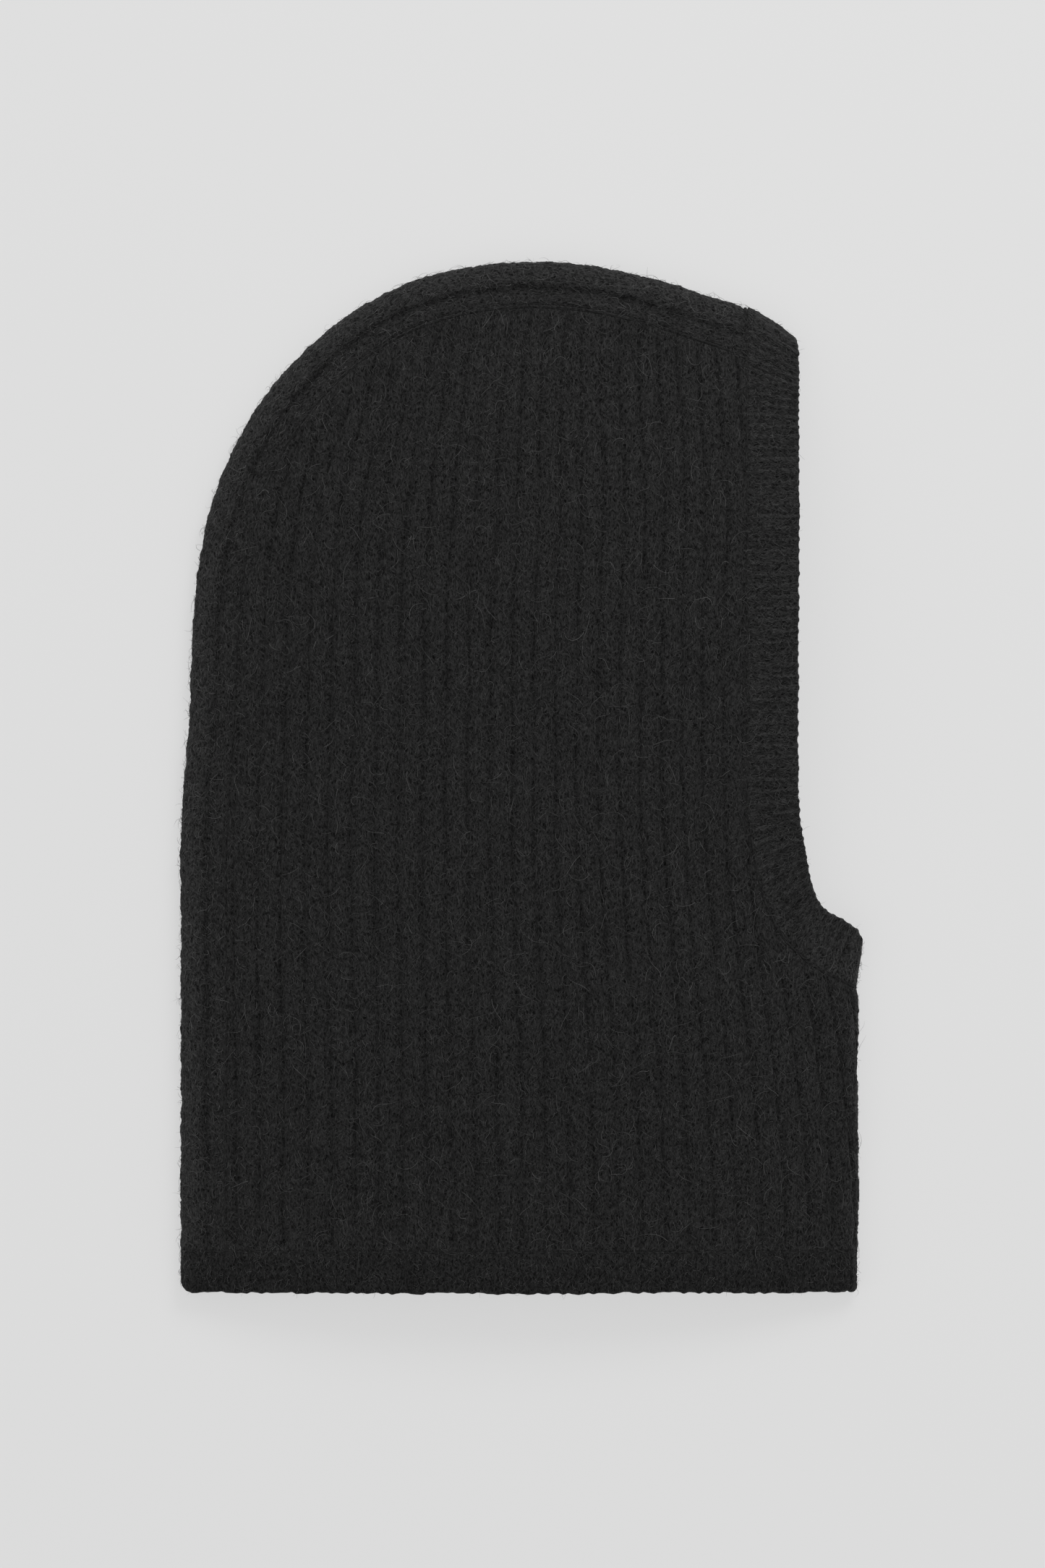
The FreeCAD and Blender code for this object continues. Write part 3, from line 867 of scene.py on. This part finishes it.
def fibres(name, seeds, along, count, lengths, lift, seed, knots=6):
    """Tapered three-sided hairs that start on the cloth and lie mostly along the wales.

    They begin at points picked from seeds, curl as they go, and rise off the cloth by a height
    within lift. Each has its own number from 0 to 1 in the UV map, which sets its grey.
    """
    rng = np.random.default_rng(seed)
    points, normal = seeds
    pick = rng.integers(0, len(points), count)
    root, n = points[pick], normal[pick]
    lean = rng.normal(0, 0.58, count)
    ahead = along(root) * rng.choice([-1.0, 1.0], count)[:, None]
    ahead = ahead - n * (ahead * n).sum(1)[:, None]
    ahead /= np.maximum(np.linalg.norm(ahead, axis=1), 1e-6)[:, None]
    side = np.cross(n, ahead)
    way = ahead * np.cos(lean)[:, None] + side * np.sin(lean)[:, None]
    side = np.cross(n, way)
    long = rng.uniform(*lengths, count) * rng.uniform(0.6, 1.0, count)
    u = np.linspace(0, 1, knots)[None, :]
    bend = rng.normal(0, 1.3, (count, 1))
    swing = 0.9 * rng.uniform(-1, 1, (count, 1))
    waves = rng.uniform(2, 7, (count, 1))
    begin = rng.uniform(0, 6.3, (count, 1))
    turn = bend * u + swing * np.sin(waves * u + begin)
    step = long[:, None] / (knots - 1)
    forward = np.cumsum(np.cos(turn) * step, axis=1)
    sideways = np.cumsum(np.sin(turn) * step, axis=1)
    height = rng.uniform(*lift, (count, 1))
    arch = rng.uniform(0.55, 1.1, (count, 1))
    rise = height * np.sin(math.pi * np.clip(u * arch, 0, 1))
    path = root[:, None] + way[:, None] * forward[..., None] + side[:, None] * sideways[..., None]
    path = path + n[:, None] * (rise - 0.12)[..., None]  # its ends are a little sunk
    path[..., 2] = np.maximum(path[..., 2], 0.15)  # clear of the floor
    tangent = np.gradient(path, axis=1)
    tangent /= np.maximum(np.linalg.norm(tangent, axis=2), 1e-9)[..., None]
    right = np.cross(tangent, n[:, None])
    right /= np.maximum(np.linalg.norm(right, axis=2), 1e-9)[..., None]
    up = np.cross(right, tangent)
    thick = (FIBRE_R * rng.uniform(0.7, 1.3, (count, 1)) * (1 - 0.75 * u**2))[..., None, None]
    angle = np.linspace(0, 2 * math.pi, 3, endpoint=False)[None, None, :, None]
    spoke = np.cos(angle) * right[:, :, None] + np.sin(angle) * up[:, :, None]
    ring = path[:, :, None] + thick * spoke
    ids = np.arange(count * knots * 3).reshape(count, knots, 3)
    turned = np.roll(ids, -1, axis=2)
    body = np.stack([ids[:, :-1], turned[:, :-1], turned[:, 1:], ids[:, 1:]], -1).reshape(-1, 4)
    caps = np.concatenate([ids[:, 0, ::-1], ids[:, -1]])
    own = np.repeat(rng.uniform(0, 1, count), knots * 3)
    uv = np.stack([own, np.tile(np.repeat(u[0], 3), count)], -1)
    return make_mesh(name, ring.reshape(-1, 3), [body, caps], uv, np.zeros(count * knots * 3))


def wale_way(points):
    """Straight up, as the wales of the hem and, but for a lean, of a side panel run."""
    return np.tile(np.array([0.0, 1.0, 0.0]), (len(points), 1))


def strip_way(points):
    """Along the back path, the way the strip's wales run."""
    k = np.array([np.abs(BACK.p - q).sum(1).argmin() for q in points[:, :2]])
    return np.concatenate([BACK.t[k], np.zeros((len(points), 1))], 1)


def band_way(points):
    """Across the band, the way its own wales run."""
    k = np.array([np.abs(SEAM.p - q).sum(1).argmin() for q in points[:, :2]])
    return np.concatenate([-SEAM.n[k], np.zeros((len(points), 1))], 1)


# ------------------------ materials

def set_inputs(node, **values):
    """Sets constants on a node's own sockets; an underscore stands for a space in a name."""
    for key, value in values.items():
        node.inputs[key.replace("_", " ")].default_value = value


def add(nt, kind, **values):
    """A new node with some of its settings."""
    node = nt.nodes.new(kind)
    for key, value in values.items():
        setattr(node, key, value)
    return node


def stray(nt, uv, turn, across, along, low, high):
    """Thin bright lines of fibre, of the given sizes in mm, turned by an angle from the wales."""
    place = add(nt, "ShaderNodeMapping", vector_type="TEXTURE")
    shift = (7.3 * turn, 3.1, 0)
    set_inputs(place, Rotation=(0, 0, turn), Scale=(across, along, 1), Location=shift)
    grain = add(nt, "ShaderNodeTexNoise")
    set_inputs(grain, Scale=1.0, Detail=1.5, Distortion=0.6)
    nt.links.new(uv.outputs["UV"], place.inputs["Vector"])
    nt.links.new(place.outputs["Vector"], grain.inputs["Vector"])
    return scaled(nt, grain.outputs["Fac"], low, high, 0, 1)


def joined(nt, operation, a, b):
    """Two values joined by a Math node; b may be a plain number."""
    node = add(nt, "ShaderNodeMath", operation=operation)
    nt.links.new(a, node.inputs[0])
    if isinstance(b, float):
        node.inputs[1].default_value = b
    else:
        nt.links.new(b, node.inputs[1])
    return node.outputs["Value"]


def scaled(nt, value, low, high, to_low, to_high):
    """A value moved from one range to another."""
    node = add(nt, "ShaderNodeMapRange")
    set_inputs(node, From_Min=low, From_Max=high, To_Min=to_low, To_Max=to_high)
    nt.links.new(value, node.inputs["Value"])
    return node.outputs["Result"]


def new_material(name):
    """A material that uses nodes, with its node tree and its shader."""
    mat = bpy.data.materials.new(name)
    mat.use_nodes = True
    return mat, mat.node_tree, mat.node_tree.nodes["Principled BSDF"]


def grey_colour(nt, shader, tone):
    """Puts one value into all three channels of the base colour."""
    colour = add(nt, "ShaderNodeCombineColor")
    for channel in ("Red", "Green", "Blue"):
        nt.links.new(tone, colour.inputs[channel])
    nt.links.new(colour.outputs["Color"], shader.inputs["Base Color"])


def knit_material(name, shade, raised=1.05, grooved=0.80):
    """Brushed wool: crossing fibres over a mottled charcoal, with painted shade in the grooves.

    The grey goes with shade, times raised on the ribs and rims and times grooved between them, as
    painted shade and highlight.
    """
    mat, nt, shader = new_material(name)
    uv = add(nt, "ShaderNodeUVMap", uv_map="Knit")
    lines = stray(nt, uv, 0.0, 0.5, 2.8, 0.46, 0.78)
    for angle, wide in ((0.45, 0.45), (-0.4, 0.45), (0.95, 0.5), (-1.0, 0.5)):
        more = stray(nt, uv, angle, wide, 2.6, 0.49, 0.80)
        lines = joined(nt, "MAXIMUM", lines, more)
    speck = joined(nt, "MULTIPLY", stray(nt, uv, 0.0, 0.55, 1.1, 0.25, 0.75), 0.40)
    grain = joined(nt, "ADD", joined(nt, "MULTIPLY", lines, 0.72), speck)
    patches = add(nt, "ShaderNodeTexNoise")
    set_inputs(patches, Scale=0.09, Detail=4)
    nt.links.new(uv.outputs["UV"], patches.inputs["Vector"])
    groove = add(nt, "ShaderNodeAttribute", attribute_name="groove")
    tone = scaled(nt, grain, 0.16, 0.80, 0.17 * shade, 2.12 * shade)
    tone = joined(nt, "MULTIPLY", tone, scaled(nt, patches.outputs["Fac"], 0.3, 0.7, 0.92, 1.08))
    # painted shade and highlight: the groove attribute darkens grooves and seams and leaves rims
    # and corners paler
    tone = joined(nt, "MULTIPLY", tone, scaled(nt, groove.outputs["Fac"], 0, 1, raised, grooved))
    grey_colour(nt, shader, tone)
    set_inputs(shader, Roughness=0.92, Specular_IOR_Level=0.04)
    set_inputs(shader, Sheen_Weight=0.10, Sheen_Roughness=0.35)
    relief = add(nt, "ShaderNodeBump")
    set_inputs(relief, Strength=0.7, Distance=0.0006)
    nt.links.new(grain, relief.inputs["Height"])
    nt.links.new(relief.outputs["Normal"], shader.inputs["Normal"])
    return mat


def plain_fibre_material(name, dark, light):
    """Single fibres: each its own shade of grey, by its place in the UV map."""
    mat, nt, shader = new_material(name)
    uv = add(nt, "ShaderNodeUVMap", uv_map="Knit")
    split = add(nt, "ShaderNodeSeparateXYZ")
    nt.links.new(uv.outputs["UV"], split.inputs["Vector"])
    tone = scaled(nt, split.outputs["X"], 0, 1, dark, light)
    grey_colour(nt, shader, tone)
    set_inputs(shader, Roughness=0.7, Sheen_Weight=0.2)
    return mat


# ------------------------ the stage and the camera

def camera():
    """Looks straight down from far above, so that the hood fills its share of the picture."""
    low, high = cad_box
    wide = (high.x - low.x) / 0.6547  # the hood's share of the picture's width
    tall = wide * 2168 / 1445  # the picture's shape
    height, hood_z = 6.0, 0.01
    data = bpy.data.cameras.new("camera")
    data.sensor_width = 36  # along the longer side of the picture
    data.lens = data.sensor_width * (height - hood_z) / tall
    data.clip_end = 50
    cam = bpy.data.objects.new("camera", data)
    below_centre = tall * 0.0035  # the hood is a little above the picture's middle
    cam.location = ((low.x + high.x) / 2, (low.y + high.y) / 2 - below_centre, height)
    bpy.context.collection.objects.link(cam)
    bpy.context.scene.camera = cam


def lamp(name, place, size, watts):
    """A round area light that points at the hood."""
    data = bpy.data.lights.new(name, "AREA")
    data.shape = "DISK"
    data.size = size
    data.energy = watts
    light = bpy.data.objects.new(name, data)
    light.location = place
    light.rotation_mode = "QUATERNION"
    light.rotation_quaternion = (-Vector(place)).to_track_quat("-Z", "Y")
    bpy.context.collection.objects.link(light)


def studio():
    """Pale even light, a soft key from the crown's side, and a plain pale floor."""
    bpy.context.scene.view_settings.view_transform = "Standard"
    world = bpy.data.worlds.new("studio")
    world.use_nodes = True
    set_inputs(world.node_tree.nodes["Background"], Color=(1, 1, 1, 1), Strength=0.53)
    bpy.context.scene.world = world
    lamp("key", (0.45, 0.95, 1.05), 0.8, 8.0)
    lamp("fill", (-1.7, -0.9, 1.3), 1.8, 4)
    me = bpy.data.meshes.new("floor")
    half = 30.0
    corners = [(-half, -half, 0), (half, -half, 0), (half, half, 0), (-half, half, 0)]
    me.from_pydata(corners, [], [(0, 1, 2, 3)])
    floor = bpy.data.objects.new("floor", me)
    bpy.context.collection.objects.link(floor)
    mat, _, shader = new_material("floor")
    set_inputs(shader, Base_Color=(0.20, 0.20, 0.20, 1), Roughness=0.9, Specular_IOR_Level=0.1)
    set_inputs(shader, Emission_Color=(1, 1, 1, 1), Emission_Strength=0.565)
    me.materials.append(mat)


# ------------------------ making the hood

camera()
studio()

knit = knit_material("charcoal_rib", 0.0194)
# raised on the strip and the band also sets their painted highlights on the fold's rim and at the
# corners
strip_knit = knit_material("charcoal_strip", 0.0182, raised=1.52, grooved=0.76)
band_knit = knit_material("charcoal_band", 0.0218, raised=1.32, grooved=0.62)
hem_knit = knit_material("charcoal_hem", 0.0174)
seam_yarn = knit_material("seam_yarn", 0.0188, raised=1.2, grooved=0.85)
label_tape = knit_material("label_tape", 0.030)
label_thread = knit_material("label_thread", 0.0160)
pale_fibre = plain_fibre_material("pale_fibre", 0.02, 0.13)
grey_fibre = plain_fibre_material("grey_fibre", 0.015, 0.085)


def dress(piece, material, slot, *nodes):
    """Gives a piece its material and body, and hides the CAD nodes that it replaces; slot is not
    used.
    """
    piece.data.materials.append(material)
    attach(piece, "root")
    if nodes:
        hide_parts(*nodes)
    return piece


right, right_seeds = panel("right_panel_knit", True, 0.42, 0.7, seed=11)
left, _ = panel("left_panel_knit", False, 0.8, 1.3, seed=23)
strip, strip_seeds = centre_strip("crown_strip_knit", seed=37)
band, band_seeds = face_band("face_band_knit", seed=41)
hem, hem_seeds = hem_band("hem_band_knit", seed=59)
dress(right, knit, "body_knit", "right_side_panel")
dress(left, knit, "body_knit", "left_side_panel")
dress(strip, strip_knit, "strip_knit", "crown_back_strip")
dress(band, band_knit, "band_knit", "face_band")
dress(hem, hem_knit, "hem_knit", "hem_band")

dress(crown_seam("crown_seam_right_yarn", True), seam_yarn, "seam_yarn", "crown_seam_right")
dress(crown_seam("crown_seam_left_yarn", False), seam_yarn, "seam_yarn", "crown_seam_left")
dress(band_seam("face_band_seam_yarn"), seam_yarn, "seam_yarn", "face_band_seam")
dress(hem_seam("hem_seam_yarn"), seam_yarn, "seam_yarn", "hem_linking_seam")
neck_line = [(FRONT_X, HEM_TOP_Y + SEAM_W, MID_Z), (FRONT_X, CHIN_END_Y, MID_Z)]
chin_line = [(FRONT_X, CHIN_END_Y, MID_Z), (CHIN_X, CHIN_TIP_Y, MID_Z)]
neck_yarn = straight_seam("front_neck_seam_yarn", *neck_line, (1, 0, 0))
join_yarn = straight_seam("band_join_yarn", *chin_line, (*CHIN_OUT, 0))
dress(neck_yarn, seam_yarn, "seam_yarn", "front_neck_seam")
dress(join_yarn, seam_yarn, "seam_yarn", "face_band_join_seam")

right_hairs = dress(
    fibres("right_panel_fibres", right_seeds, wale_way, 1900, (4, 14), (0.3, 1.2), 71, knots=13),
    pale_fibre, "body_knit",
)
right_nap = dress(
    fibres("right_panel_nap", right_seeds, wale_way, 9500, (1.4, 5), (0.2, 0.8), 72, knots=5),
    grey_fibre, "body_knit",
)
strip_hairs = dress(
    fibres("strip_fibres", strip_seeds, strip_way, 3600, (1.2, 7), (0.3, 1.2), 73),
    pale_fibre, "strip_knit",
)
band_hairs = dress(
    fibres("band_fibres", band_seeds, band_way, 3200, (1.2, 5), (0.3, 1.0), 74),
    grey_fibre, "band_knit",
)
hem_hairs = dress(
    fibres("hem_fibres", hem_seeds, wale_way, 1700, (1.2, 5), (0.3, 1.0), 75),
    grey_fibre, "hem_knit",
)

label = dress(care_label("care_label_tape"), label_tape, "label_tape", "care_label")
thread = label_stitches("label_thread")
dress(thread, label_thread, "label_thread", "label_tack_stitches")
